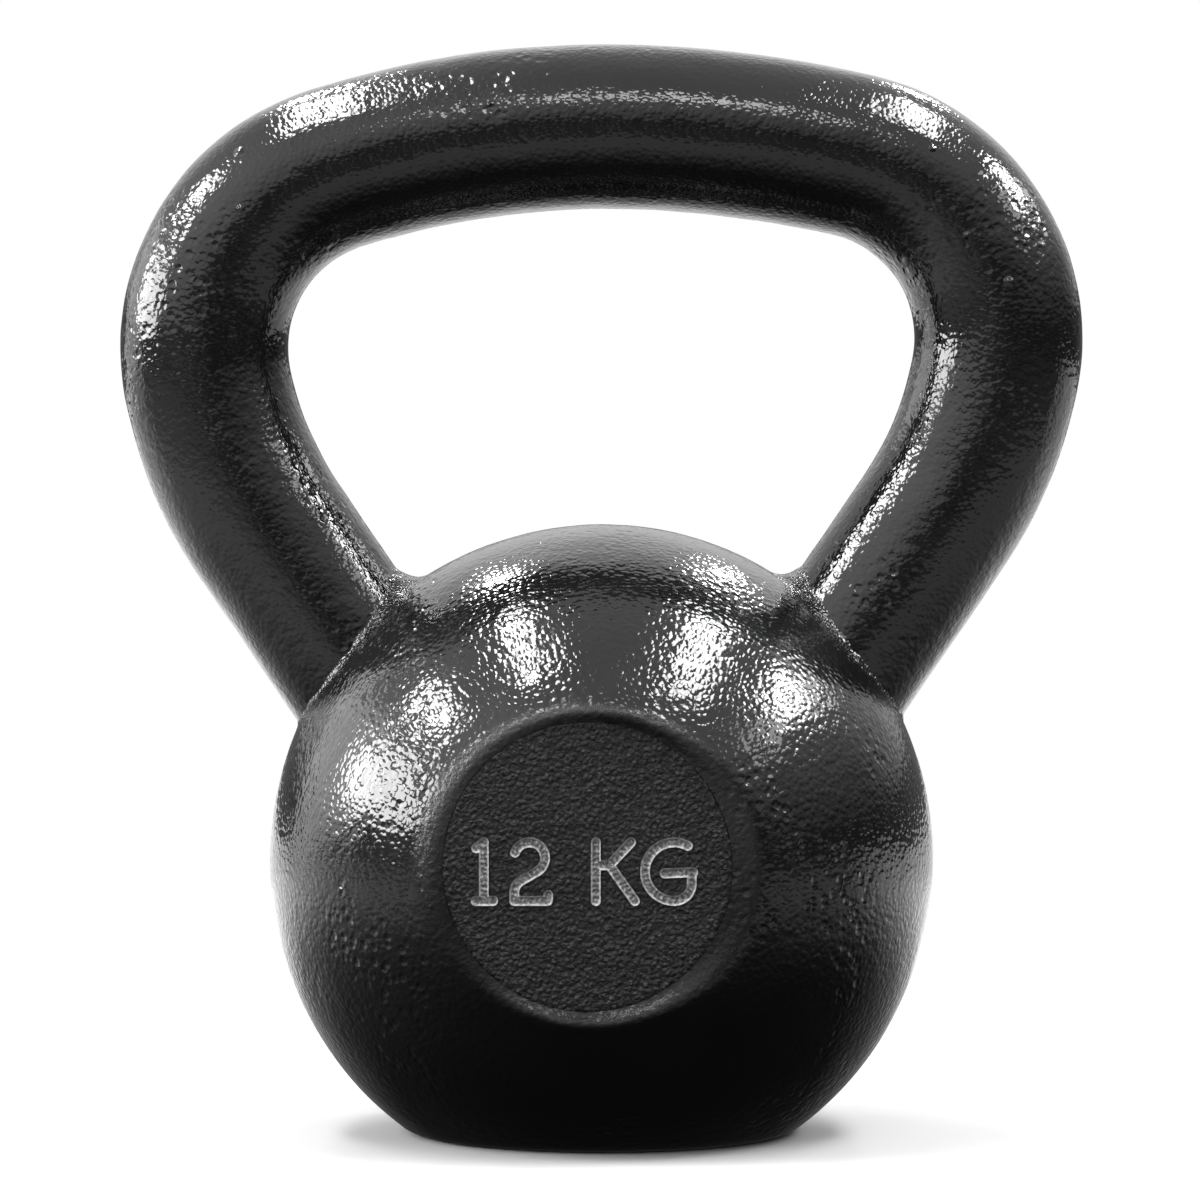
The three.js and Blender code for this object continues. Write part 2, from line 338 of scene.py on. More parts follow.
class Shading:
    """A node tree, with short ways to add the nodes that the finishes and the studio share."""

    def __init__(self, tree):
        self.tree = tree
        self.nodes = tree.nodes

    def link(self, source, target):
        self.tree.links.new(source, target)

    def fit(self, value, low, high, to_low, to_high, curve="LINEAR"):
        node = self.nodes.new("ShaderNodeMapRange")
        node.interpolation_type = curve
        ends = {"From Min": low, "From Max": high, "To Min": to_low, "To Max": to_high}
        for socket, number in ends.items():
            node.inputs[socket].default_value = number
        self.link(value, node.inputs["Value"])
        return node.outputs["Result"]

    def combine(self, operation, first, second):
        node = self.nodes.new("ShaderNodeMath")
        node.operation = operation
        self.link(first, node.inputs[0])
        self.link(second, node.inputs[1])
        return node.outputs[0]

    def sum(self, first, second):
        return self.combine("ADD", first, second)

    def times(self, first, second):
        return self.combine("MULTIPLY", first, second)

    def towards(self, place, way):
        """How far each place is along a way."""
        node = self.nodes.new("ShaderNodeVectorMath")
        node.operation = "DOT_PRODUCT"
        self.link(place, node.inputs[0])
        node.inputs[1].default_value = way
        return node.outputs["Value"]

    def distance(self, place, centre, squash=(1, 1, 1)):
        """How far each place is from a centre, measured along the axes that `squash` keeps."""
        moved = self.nodes.new("ShaderNodeVectorMath")
        moved.operation = "SUBTRACT"
        self.link(place, moved.inputs[0])
        moved.inputs[1].default_value = centre
        kept = self.nodes.new("ShaderNodeVectorMath")
        kept.operation = "MULTIPLY"
        self.link(moved.outputs[0], kept.inputs[0])
        kept.inputs[1].default_value = squash
        node = self.nodes.new("ShaderNodeVectorMath")
        node.operation = "LENGTH"
        self.link(kept.outputs[0], node.inputs[0])
        return node.outputs["Value"]

    def seen_or_reflected(self, seen, reflected):
        """One shader where it is seen directly, and another for its light and its reflections."""
        ray = self.nodes.new("ShaderNodeLightPath")
        mixer = self.nodes.new("ShaderNodeMixShader")
        self.link(ray.outputs["Is Camera Ray"], mixer.inputs[0])
        self.link(reflected, mixer.inputs[1])
        self.link(seen, mixer.inputs[2])
        return mixer.outputs[0]


class Finish(Shading):
    """A material made of nodes that follow the object."""

    def __init__(self, name):
        self.material = bpy.data.materials.new(name)
        self.material.use_nodes = True
        super().__init__(self.material.node_tree)
        self.shader = self.nodes["Principled BSDF"]
        self.place = self.nodes.new("ShaderNodeTexCoord").outputs["Object"]
        self.bump = None

    def noise(self, size, detail=2, roughness=0.5):
        """Noise with lumps about `size` metres across."""
        node = self.nodes.new("ShaderNodeTexNoise")
        node.inputs["Scale"].default_value = 1 / size
        node.inputs["Detail"].default_value = detail
        node.inputs["Roughness"].default_value = roughness
        self.link(self.place, node.inputs["Vector"])
        return node.outputs["Fac"]

    def cells(self, size):
        """0 in the middle of each cell about `size` metres across, and about 0.6 at its border."""
        node = self.nodes.new("ShaderNodeTexVoronoi")
        node.inputs["Scale"].default_value = 1 / size
        self.link(self.place, node.inputs["Vector"])
        return node.outputs["Distance"]

    def specks(self, spacing, size):
        """1 in small round specks, 0 elsewhere."""
        return self.fit(self.cells(spacing), size / spacing, 0.4 * size / spacing, 0, 1)

    def between(self, share_of_second, first, second):
        node = self.nodes.new("ShaderNodeMix")
        node.data_type = "RGBA"
        self.link(share_of_second, node.inputs["Factor"])
        for socket, value in zip(("A", "B"), (first, second)):
            target = [s for s in node.inputs if s.name == socket and s.type == "RGBA"][0]
            if isinstance(value, bpy.types.NodeSocket):
                self.link(value, target)
            else:
                target.default_value = (*value, 1)
        return [s for s in node.outputs if s.type == "RGBA"][0]

    def raise_by(self, height, distance):
        """Adds a layer of bump `distance` metres high."""
        node = self.nodes.new("ShaderNodeBump")
        node.inputs["Distance"].default_value = distance
        self.link(height, node.inputs["Height"])
        if self.bump:
            self.link(self.bump, node.inputs["Normal"])
        self.bump = node.outputs["Normal"]
        self.link(self.bump, self.shader.inputs["Normal"])


def lighter(tone, times):
    return tuple(min(1, part * times) for part in tone)


# The size and height of the orange peel in each enamel, and its roughness where it is glossiest.
BALL_PEEL = (1.8 * MM, 0.11 * MM, 0.06)
HANDLE_PEEL = (1.6 * MM, 0.08 * MM, 0.06)
BEAD_PEEL = (1.1 * MM, 0.25 * MM, 0.1)

ENAMEL_IOR = 1.5
PIT_DEPTH = 0.16 * MM


def stoved_enamel(name, tone, peel_size, peel_height, gloss, nibs=()):
    """Glossy black enamel with cobbled orange peel, pits from the sand mould and a few nibs of paint."""
    finish = Finish(name)
    clouds = finish.noise(22 * MM, detail=4)
    cloudy_tone = finish.between(clouds, lighter(tone, 0.6), lighter(tone, 1.7))
    finish.link(cloudy_tone, finish.shader.inputs["Base Color"])
    uneven_gloss = finish.fit(finish.noise(11 * MM, detail=3), 0.35, 0.7, gloss, gloss + 0.07)
    finish.link(uneven_gloss, finish.shader.inputs["Roughness"])
    finish.shader.inputs["IOR"].default_value = ENAMEL_IOR
    finish.raise_by(finish.noise(peel_size, detail=1.4, roughness=0.45), peel_height)
    cobbles = finish.cells(0.72 * peel_size)
    finish.raise_by(finish.fit(finish.times(cobbles, cobbles), 0, 0.36, 1, 0), 0.45 * peel_height)
    rough_patches = finish.fit(finish.noise(27 * MM), 0.53, 0.66, 0, 1)
    pits = finish.times(finish.specks(2.4 * MM, 1.1 * MM), rough_patches)
    finish.raise_by(finish.fit(pits, 0, 1, 1, 0), PIT_DEPTH)
    for place, radius in nibs:
        off = finish.distance(finish.place, place)
        finish.raise_by(finish.fit(off, radius, radius / 4, 0, 1), radius / 3)
    return finish


# Distance from the middle of the plate at which the dull skin of the pocket starts, and where it is full.
DULL_RIM = (33.3 * MM, 30.3 * MM)

# The dull skin is a little wider than it is tall, and its depth doesn't count.
DULL_SQUASH = (0.94, 0, 1)


def roughen_pocket(finish):
    """Dulls the enamel inside the pocket, where the sand-cast skin shows through it."""
    middle_x, middle_z = plate_middle()
    out = finish.distance(finish.place, (middle_x, 0, middle_z), DULL_SQUASH)
    inside = finish.times(
        finish.fit(out, *DULL_RIM, 0, 1, "SMOOTHSTEP"),
        finish.fit(finish.towards(finish.place, (0, 1, 0)), -30 * MM, -40 * MM, 0, 1),
    )
    height = finish.towards(finish.place, (0, 0, 1))
    below = finish.fit(height, middle_z - 12 * MM, middle_z + 12 * MM, 1, 0, "SMOOTHSTEP")
    lower = finish.times(inside, below)
    dull = finish.sum(finish.fit(inside, 0, 1, 0, 0.22), finish.fit(lower, 0, 1, 0, -0.08))
    dull = finish.sum(dull, finish.shader.inputs["Roughness"].links[0].from_socket)
    finish.link(dull, finish.shader.inputs["Roughness"])
    finish.link(finish.fit(lower, 0, 1, 0.5, 0.2), finish.shader.inputs["Specular IOR Level"])
    tone = finish.shader.inputs["Base Color"].links[0].from_socket
    finish.link(finish.between(inside, tone, (0.007, 0.007, 0.007)), finish.shader.inputs["Base Color"])
    finish.raise_by(finish.times(inside, finish.noise(1 * MM, detail=3, roughness=0.6)), 0.2 * MM)


def sand_cast_enamel(tone):
    """Thin enamel over a coarse sand-cast face, which it doesn't level."""
    finish = Finish("sand cast enamel")
    grain = finish.noise(0.8 * MM, detail=4, roughness=0.62)
    pits = finish.fit(finish.cells(1 * MM), 0.1, 0.65, 1, 0)
    tops = finish.times(finish.fit(grain, 0.45, 0.65, 0, 1), pits)
    finish.link(
        finish.between(tops, lighter(tone, 0.5), lighter(tone, 7)),
        finish.shader.inputs["Base Color"],
    )
    finish.link(finish.fit(grain, 0.3, 0.7, 0.55, 0.34), finish.shader.inputs["Roughness"])
    finish.shader.inputs["Specular IOR Level"].default_value = 0.3
    finish.raise_by(grain, 0.5 * MM)
    finish.raise_by(pits, 0.16 * MM)
    return finish.material


def cut_iron(edge, floor, face, cut):
    """The freshly cut strokes: a broken edge with a painted highlight, and a duller floor with painted
    glints in its specks.
    """
    finish = Finish("cut iron")
    height = finish.towards(finish.place, (0, -1, 0))
    # The top of each stroke's wall takes the edge colour: a painted highlight, broken up by noise.
    rim = finish.fit(height, face - 0.75 * cut, face - 0.35 * cut, 0, 1)
    painted_edge_highlight = finish.times(rim, finish.fit(finish.noise(1.1 * MM), 0.38, 0.58, 0.25, 1))
    # Lighter specks on the floor are painted glints; the same specks are also glossier.
    painted_glint_specks = finish.fit(finish.noise(0.6 * MM, detail=3, roughness=0.6), 0.47, 0.66, 0, 1)
    floor_tone_with_painted_glints = finish.between(painted_glint_specks, floor, lighter(floor, 4))
    finish.link(finish.between(painted_edge_highlight, floor_tone_with_painted_glints, edge), finish.shader.inputs["Base Color"])
    finish.link(finish.fit(painted_glint_specks, 0, 1, 0.5, 0.36), finish.shader.inputs["Roughness"])
    finish.raise_by(finish.noise(0.5 * MM, detail=2), 0.18 * MM)
    return finish.material


# ----------------------------------------------------------
# Ball
# ----------------------------------------------------------


def cube_sphere(cells):
    """Unit directions and quads of a sphere made of six even grids."""
    side = np.tan(np.linspace(-1, 1, cells + 1) * math.pi / 4)
    a, b = (grid.ravel() for grid in np.meshgrid(side, side, indexing="ij"))
    i, j = (grid.ravel() for grid in np.meshgrid(np.arange(cells), np.arange(cells), indexing="ij"))
    first = i * (cells + 1) + j
    quads = np.stack([first, first + cells + 1, first + cells + 2, first + 1], axis=1)
    points, faces = [], []
    for axis, sign in itertools.product(range(3), (1, -1)):
        grid = np.empty((len(a), 3))
        grid[:, axis], grid[:, (axis + 1) % 3], grid[:, (axis + 2) % 3] = sign, a, b
        faces.append((quads if sign > 0 else quads[:, ::-1]) + len(a) * len(points))
        points.append(grid)
    points = np.concatenate(points)
    _, keep, renumbered = np.unique(np.round(points, 7), axis=0, return_index=True, return_inverse=True)
    points = points[keep]
    faces = renumbered.ravel()[np.concatenate(faces)]
    return points / np.linalg.norm(points, axis=1, keepdims=True), faces


# Quads along each edge of the cube that the ball's mesh is made from.
BALL_CELLS = 118

# The pocket reaches only points that are further in front of the ball's axis than the first of these and,
# seen from the front, nearer to the pocket's middle than the second.
POCKET_FRONT = 45 * MM
POCKET_REACH = 46 * MM

# How far the pocket's wall runs out for each millimetre of its depth: above and below the plate, and what is
# added towards the right and the left, where the wall is shallower.
WALL_SPREAD = 0.9
RIGHT_SPREAD = 5.5
LEFT_SPREAD = 1.8


def pocket_front(points):
    """How far in front of the ball's axis the shelf and wall of the pocket are, at each point."""
    marking = bpy.context.scene.kettlebell_marking
    middle_x, middle_z = plate_middle()
    x, z = points[:, 0] - middle_x, points[:, 2] - middle_z
    out = np.hypot(x, z) - marking.radius - 0.2 * MM
    sideways = x / np.maximum(np.hypot(x, z), MM)
    spread = WALL_SPREAD + np.where(sideways > 0, RIGHT_SPREAD * sideways**4, LEFT_SPREAD * sideways**2)
    shelf = plate_face() - 0.1 * MM
    wall = shelf + out / spread + 0.05 * MM * lumps(points, 4 * MM, 5)
    return -soft_min(-wall, np.full_like(wall, -shelf), 0.5 * MM)


def build_ball():
    ball = bpy.context.scene.kettlebell_ball
    ways, faces = cube_sphere(BALL_CELLS)
    points = ball_middle() + ways * ball_reach()
    uneven = ball.swell * (0.7 * lumps(points, 30 * MM, 1) + 0.45 * lumps(points, 11 * MM, 2))
    uneven += ball.peel * (lumps(points, 5.5 * MM, 3) + 0.8 * lumps(points, 3 * MM, 4))
    points += ball_normals(points) * uneven[:, None]

    off_axis = np.hypot(points[:, 0], points[:, 2] - plate_middle()[1])
    near_pocket = (points[:, 1] < -POCKET_FRONT) & (off_axis < POCKET_REACH)
    front = soft_min(-points[near_pocket, 1], pocket_front(points[near_pocket]), ball.mouth_edge)
    points[near_pocket, 1] = -front
    points[:, 2] = -soft_min(-points[:, 2], np.zeros(len(points)), ball.foot_edge)

    enamel = stoved_enamel("ball enamel", ball.enamel, *BALL_PEEL)
    roughen_pocket(enamel)
    piece = make_piece("iron_ball", points, faces, enamel.material)
    cut_away(piece, [plate_seat(), *tail_sockets()])
    finish_shading(piece, 45)
    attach(piece, "root")
    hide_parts("ball")


def plate_seat():
    middle_x, middle_z = plate_middle()
    radius = bpy.context.scene.kettlebell_marking.radius + 0.04 * MM
    back = -PLATE_BOX[1].y - 0.3 * MM
    front = plate_face() + 1 * MM
    return round_bar("seat", (middle_x, -back, middle_z), (middle_x, -front, middle_z), radius)


def tail_sockets():
    handle = bpy.context.scene.kettlebell_handle
    clearance = 0.3 * MM
    radius = handle.leg_radius + clearance
    for mirror in (-1, 1):
        side = HandleSide(mirror)
        ends = [side.foot + side.leg_way * along for along in (-2 * radius, handle.tail + clearance)]
        yield round_bar("socket", *[end * (mirror, 1, 1) for end in ends], radius)


# ----------------------------------------------------------
# Handle and foot beads
# ----------------------------------------------------------


def roughen_inner_legs(finish, side):
    """Cobbles on the sides of the legs that face each other, where the mould was hard to smooth."""
    x, _, z = side.foot
    across, up = math.sin(bpy.context.scene.kettlebell_handle.leg_slope), -side.leg_way[0]
    towards_gap = [finish.towards(finish.place, (mirror * across, 0, -up)) for mirror in (-1, 1)]
    inwards = finish.combine("MINIMUM", *towards_gap)
    middle = -across * x - up * z
    on_legs = finish.times(
        finish.fit(inwards, middle + 1 * MM, middle + 9 * MM, 0, 1, "SMOOTHSTEP"),
        finish.fit(finish.towards(finish.place, (0, 0, 1)), 165 * MM, 130 * MM, 0, 1, "SMOOTHSTEP"),
    )
    cobbles = finish.cells(1.9 * MM)
    domes = finish.fit(finish.times(cobbles, cobbles), 0, 0.4, 1, 0)
    finish.raise_by(finish.times(on_legs, domes), 0.34 * MM)


def roughen_legs(finish):
    """Coarser orange peel on the lower half of the handle."""
    height = finish.towards(finish.place, (0, 0, 1))
    low = finish.fit(height, 205 * MM, 160 * MM, 0, 1, "SMOOTHSTEP")
    finish.raise_by(finish.times(low, finish.noise(2.2 * MM)), 0.14 * MM)


# Nibs of paint on the front of the bar: right, up and radius, in millimetres.
BAR_NIBS = (
    (-74.7, 203, 1.3),
    (-74, 191, 1),
    (68, 203.5, 0.9),
    (83.5, 176, 1.2),
    (-54.4, 139.6, 1),
    (75, 185.5, 0.9),
)


# How much of each side of the bar holds nibs, and how many points of it their depth is measured from.
NIB_STRETCH = 0.2
NIB_POINTS = 400


def bar_nibs():
    """Each nib's middle on the skin of the bar, and its radius."""
    radius = bpy.context.scene.kettlebell_handle.bar_radius
    for x, z, size in BAR_NIBS:
        centre, _ = HandleSide(math.copysign(1, x)).at(np.linspace(0, NIB_STRETCH, NIB_POINTS))
        off = np.linalg.norm(centre - (x * MM, 0, z * MM), axis=1).min()
        yield (x * MM, -math.sqrt(max(radius**2 - off**2, 0)), z * MM), size * MM


# How far the bar has turned down, in radians, where it starts to thicken, and over what turn it does so.
THICKENS_FROM = 0.3
THICKENS_OVER = 1.2


def build_handle():
    handle = bpy.context.scene.kettlebell_handle
    left, right = HandleSide(-1), HandleSide(1)
    rings, around = 540, 148
    along = np.linspace(-left.length, right.length, rings)
    centre, heading = right.at(np.abs(along))
    left_centre, left_heading = left.at(np.abs(along))
    is_left = along < 0
    centre[is_left], heading[is_left] = left_centre[is_left], left_heading[is_left]
    mirror = np.where(is_left, -1, 1)

    out = np.stack([np.sin(heading) * mirror, np.zeros(rings), np.cos(heading)], axis=1)
    turn = np.linspace(0, 2 * math.pi, around, endpoint=False)
    ways = np.cos(turn)[None, :, None] * out[:, None, :]
    ways = ways + np.sin(turn)[None, :, None] * np.array((0, 1, 0))
    thickening = np.clip((heading - THICKENS_FROM) / THICKENS_OVER, 0, 1)
    radius = handle.bar_radius + (handle.leg_radius - handle.bar_radius) * thickening
    points = (centre[:, None, :] + ways * radius[:, None, None]).reshape(-1, 3)
    ways = ways.reshape(-1, 3)

    uneven = handle.swell * (0.8 * lumps(points, 26 * MM, 11) + 0.5 * lumps(points, 9 * MM, 12))
    uneven += handle.peel * (lumps(points, 5 * MM, 13) + 0.8 * lumps(points, 2.8 * MM, 14))
    points += ways * uneven[:, None]
    faces = [*tube_faces(rings, around)]
    faces += [range(around - 1, -1, -1), range((rings - 1) * around, rings * around)]

    enamel = stoved_enamel("handle enamel", handle.enamel, *HANDLE_PEEL, bar_nibs())
    roughen_inner_legs(enamel, right)
    roughen_legs(enamel)
    piece = make_piece("bar_handle", points, faces, enamel.material, 60)
    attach(piece, "root")
    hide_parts("handle")


def build_foot_bead(mirror, enamel):
    bead = bpy.context.scene.kettlebell_bead
    leg_radius = bpy.context.scene.kettlebell_handle.leg_radius
    side = HandleSide(mirror)
    around, across = 220, 14
    turn = np.linspace(0, 2 * math.pi, around, endpoint=False)[:, None]
    inward = np.array((side.leg_way[2], 0, -side.leg_way[0]))
    out = np.cos(turn) * inward + np.sin(turn) * np.array((0, 1, 0))
    size = bead.outer + (bead.inner - bead.outer) * ((1 + np.cos(turn)) / 2) ** 4
    size = size * (1 + 0.18 * lumps(out * leg_radius, 6 * MM, 20)[:, None])

    sunk = 0.25 * MM
    on_bar = side.foot + out * leg_radius
    up_leg = np.broadcast_to(-side.leg_way, on_bar.shape)
    corner = on_bar + up_leg * leave_ball(on_bar, up_leg)[:, None]
    on_leg = corner + up_leg * size - out * sunk
    normal = ball_normals(corner)
    away = out - normal * (out * normal).sum(1, keepdims=True)
    away /= np.linalg.norm(away, axis=1, keepdims=True)
    skirt = bead.skirt * (1 - (size - bead.outer) / bead.inner)
    ray = corner + away * (size + skirt) - ball_middle()
    ray /= np.linalg.norm(ray, axis=1, keepdims=True)
    from_middle = np.broadcast_to(ball_middle(), ray.shape)
    on_ball = ball_middle() + ray * leave_ball(from_middle, ray, -sunk)[:, None]
    root = corner - out * 2 * sunk - normal * 2 * sunk

    rows = []
    for part in np.linspace(0, 1, across):
        line = (1 - part) ** 2 * on_leg + 2 * part * (1 - part) * corner + part**2 * on_ball
        bulge = 4 * part * (1 - part) * bead.lumpiness * lumps(line, 3.2 * MM, 21)
        rows.append(line + (out + normal) * bulge[:, None] / 2)
    rows.append(root)
    points = np.stack(rows).reshape(-1, 3)
    faces = tube_faces(len(rows), around, closed=True)
    points[:, 0] *= mirror
    name = "left_leg_bead" if mirror < 0 else "right_leg_bead"
    piece = make_piece(name, points, faces if mirror < 0 else faces[:, ::-1], enamel, 60)
    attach(piece, "root")
    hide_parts("left_foot_bead" if mirror < 0 else "right_foot_bead")


# ----------------------------------------------------------
# Marking plate and figures
# ----------------------------------------------------------


def arc(x, y, radius, start, end, count):
    turn = np.radians(np.linspace(start, end, count + 1))
    return [(x + radius * math.cos(t), y + radius * math.sin(t)) for t in turn]


# Each figure's place along the line and its strokes, in shares of the height between stroke centres.
FIGURES = {
    "digit_one": (
        -1.765,
        [[(0, 0.5), (0, -0.5)], [(-0.13, 0.4), (0, 0.5)], [(-0.14, -0.5), (0.16, -0.5)]],
    ),
    "digit_two": (
        -0.965,
        [
            arc(-0.02, 0.235, 0.265, 160, -60, 20) + arc(-0.06, -0.35, 0.22, 120, 180, 6) + [(-0.28, -0.5)],
            [(-0.28, -0.5), (0.29, -0.5), (0.3, -0.4)],
        ],
    ),
    "letter_k": (
        0.461,
        [
            [(-0.314, 0.5), (-0.314, -0.5)],
            [(-0.314, 0.11), (-0.08, 0.11), (0.285, 0.5)],
            [(-0.08, 0.11), (0.353, -0.5)],
        ],
    ),
    "letter_g": (
        1.4,
        [
            arc(0.085, 0, 0.5, 62, 270, 26) + arc(0.085, -0.2, 0.3, 285, 360, 8) + [(0.385, -0.02)],
            [(0.41, -0.01), (-0.078, -0.03)],
        ],
    ),
}


def figure_strokes(name):
    """A figure's strokes as lines of points, sideways and up from the middle of the plate, in metres."""
    marking = bpy.context.scene.kettlebell_marking
    scale = marking.cap_height - marking.stroke
    x, strokes = FIGURES[name]
    return [(np.array(stroke) + (x, 0)) * scale - (0, marking.drop) for stroke in strokes]


def stroke_distance(points, strokes):
    """For points in the plate's plane: distance and way from the nearest stroke, and how far along it."""
    nearest = np.full(len(points), np.inf)
    offset, travelled = np.zeros_like(points), np.zeros(len(points))
    for stroke in strokes:
        run = 0
        for start, end in zip(stroke[:-1], stroke[1:]):
            reach = np.linalg.norm(end - start)
            way = (end - start) / reach
            along = np.clip((points - start) @ way, 0, reach)
            gap = points - (start + along[:, None] * way)
            distance = np.linalg.norm(gap, axis=1)
            closer = distance < nearest
            nearest[closer], offset[closer] = distance[closer], gap[closer]
            travelled[closer] = run + along[closer]
            run += reach
    return nearest, offset, travelled


def grid_quads(inside):
    """The quads of a grid that touch a point that is inside."""
    rows, columns = inside.shape
    number = np.arange(rows * columns).reshape(rows, columns)
    corners = [number[:-1, :-1], number[:-1, 1:], number[1:, 1:], number[1:, :-1]]
    quads = np.stack([corner.ravel() for corner in corners], axis=1)
    return quads[inside.ravel()[quads].any(axis=1)]


def solid_from_face(front, quads, back):
    """Points and faces of a closed solid: this front face, and a flat back at y = `back`."""
    used, quads = np.unique(quads, return_inverse=True)
    quads = quads.reshape(-1, 4)
    front = front[used]
    edges = np.concatenate([quads[:, [k, (k + 1) % 4]] for k in range(4)])
    known = set(map(tuple, edges))
    rim = [(a, b) for a, b in known if (b, a) not in known]
    behind = front.copy()
    behind[:, 1] = back
    count = len(front)
    walls = [(b, a, a + count, b + count) for a, b in rim]
    return np.concatenate([front, behind]), [*quads, *(quads[:, ::-1] + count), *walls]


def dense_between(low, high, fine_low, fine_high, fine, coarse):
    """Steps from low to high: `fine` inside the fine stretch and `coarse` outside it."""
    parts = [
        np.linspace(low, fine_low, round((fine_low - low) / coarse) + 1)[:-1],
        np.linspace(fine_low, fine_high, round((fine_high - fine_low) / fine) + 1)[:-1],
        np.linspace(fine_high, high, round((high - fine_high) / coarse) + 1),
    ]
    return np.concatenate(parts)


# Depth of the grooves in the plate, and how far behind its face the figures' own backs are.
GROOVE_DEPTH = 0.9 * MM
FIGURE_SINK = 0.88 * MM


def build_marking_plate():
    marking = bpy.context.scene.kettlebell_marking
    radius, middle = marking.radius, plate_middle()
    strokes = [stroke for name in FIGURES for stroke in figure_strokes(name)]
    every = np.concatenate(strokes)
    margin, fine, coarse = 1.3 * MM, 0.17 * MM, 0.4 * MM
    fine_low, fine_high = every.min(0) - margin, every.max(0) + margin
    edge = radius + 0.5 * MM
    x = dense_between(-edge, edge, fine_low[0], fine_high[0], fine, coarse)
    z = dense_between(-edge, edge, fine_low[1], fine_high[1], fine, coarse)
    flat = np.stack([grid.ravel() for grid in np.meshgrid(x, z, indexing="ij")], axis=1)

    out = np.linalg.norm(flat, axis=1)
    quads = grid_quads((out < radius).reshape(len(x), len(z)))
    beyond = out > radius
    flat[beyond] *= (radius / out[beyond])[:, None]

    distance, _, _ = stroke_distance(flat, strokes)
    in_groove = distance < marking.stroke / 2 + 0.05 * MM
    place = np.stack([flat[:, 0], np.zeros(len(flat)), flat[:, 1]], axis=1)
    grain = marking.grain * (lumps(place, 1.5 * MM, 31) + 0.6 * lumps(place, 0.8 * MM, 32)) / 2
    grain += 0.1 * MM * lumps(place, 8 * MM, 33)
    calm = np.clip((distance - marking.stroke / 2) / (1.2 * MM), 0.25, 1)
    edge_drop = np.clip((out - radius + 0.6 * MM) / (0.6 * MM), 0, 1) ** 2 * 0.12 * MM
    front = plate_face() - 0.1 * MM + grain * calm - edge_drop
    front[in_groove] = plate_face() - GROOVE_DEPTH
    points = np.stack([flat[:, 0] + middle[0], -front, flat[:, 1] + middle[1]], axis=1)
    points, faces = solid_from_face(points, quads, PLATE_BOX[1].y)

    piece = make_piece("weight_plate", points, faces, sand_cast_enamel(marking.plate_enamel), 50)
    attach(piece, "root")
    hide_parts("marking_plate")


def build_figure(name, iron):
    marking = bpy.context.scene.kettlebell_marking
    strokes = figure_strokes(name)
    every = np.concatenate(strokes)
    half = marking.stroke / 2
    step = 0.11 * MM
    low, high = every.min(0) - half - 2 * step, every.max(0) + half + 2 * step
    x, z = np.arange(low[0], high[0], step), np.arange(low[1], high[1], step)
    flat = np.stack([grid.ravel() for grid in np.meshgrid(x, z, indexing="ij")], axis=1)
    distance, offset, travelled = stroke_distance(flat, strokes)
    quads = grid_quads((distance < half).reshape(len(x), len(z)))
    beyond = distance > half
    flat[beyond] -= offset[beyond] * (1 - half / distance[beyond])[:, None]

    flank, ripple_pitch = 0.5 * MM, 1.05 * MM
    hollow = np.clip((half - distance) / flank, 0, 1)
    hollow = hollow**2 * (3 - 2 * hollow)
    place = np.stack([flat[:, 0], np.zeros(len(flat)), flat[:, 1]], axis=1)
    ripple = np.sin(travelled * 2 * math.pi / ripple_pitch + 2.5 * lumps(place, 2.2 * MM, 42))
    ripple *= 1 + 0.6 * lumps(place, 1.6 * MM, 43)
    burrs = 0.06 * MM * lumps(place, 0.6 * MM, 41)
    depth = hollow * (marking.cut + marking.chatter * ripple + burrs)
    front = plate_face() + 0.05 * MM - depth
    middle = plate_middle()
    points = np.stack([flat[:, 0] + middle[0], -front, flat[:, 1] + middle[1]], axis=1)
    points, faces = solid_from_face(points, quads, FIGURE_SINK - plate_face())
    piece = make_piece("cut_" + name, points, faces, iron, 60)
    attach(piece, "root")
    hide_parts(name)


# ----------------------------------------------------------
# Studio
# ----------------------------------------------------------

# Soft lamps: the way to each one from the object (right, back, up), how many degrees it spreads from front
# to back and across that as the object sees it, and its brightness.
LAMPS = {
    "back left": ((-0.31, 0.54, 0.785), 7, 6, 46),
    "back right": ((0.33, 0.65, 0.69), 7, 6, 46),
    "top left": ((-0.35, -0.035, 0.924), 42, 8, 26),
    "top right": ((0.43, -0.105, 0.885), 42, 11, 22),
    "left": ((-0.757, -0.15, 0.634), 20, 10, 24),
    "right": ((0.751, 0.035, 0.65), 20, 9, 28),
    "right strip": ((0.79, -0.02, 0.58), 50, 7, 5),
    "front": ((0.05, -0.74, 0.67), 7, 14, 10),
    "low left": ((-0.952, -0.08, 0.3), 34, 15, 15),
    "far left": ((-0.9, 0.35, 0.25), 40, 30, 1.8),
}
LAMP_DISTANCE = 1.3
LAMP_AIM = Vector((0, 0, 0.09))


def build_floor():
    studio = bpy.context.scene.kettlebell_studio
    around, outer, inner = 180, 6, 0.05
    turn = np.linspace(0, 2 * math.pi, around, endpoint=False)
    ring = np.stack([np.cos(turn), np.sin(turn), np.zeros(around)], axis=1)
    points = np.concatenate([ring * outer, ring * inner]) - (0, 0, 0.1 * MM)
    faces = [*tube_faces(2, around), range(around, 2 * around)]
    paper = Finish("studio paper")
    paper.link(
        paper.between(paper.noise(4 * MM), lighter(studio.floor, 0.985), lighter(studio.floor, 1.015)),
        paper.shader.inputs["Base Color"],
    )
    paper.shader.inputs["Roughness"].default_value = 0.9
    floor = make_piece("studio_floor", points, faces, paper.material)
    return paper


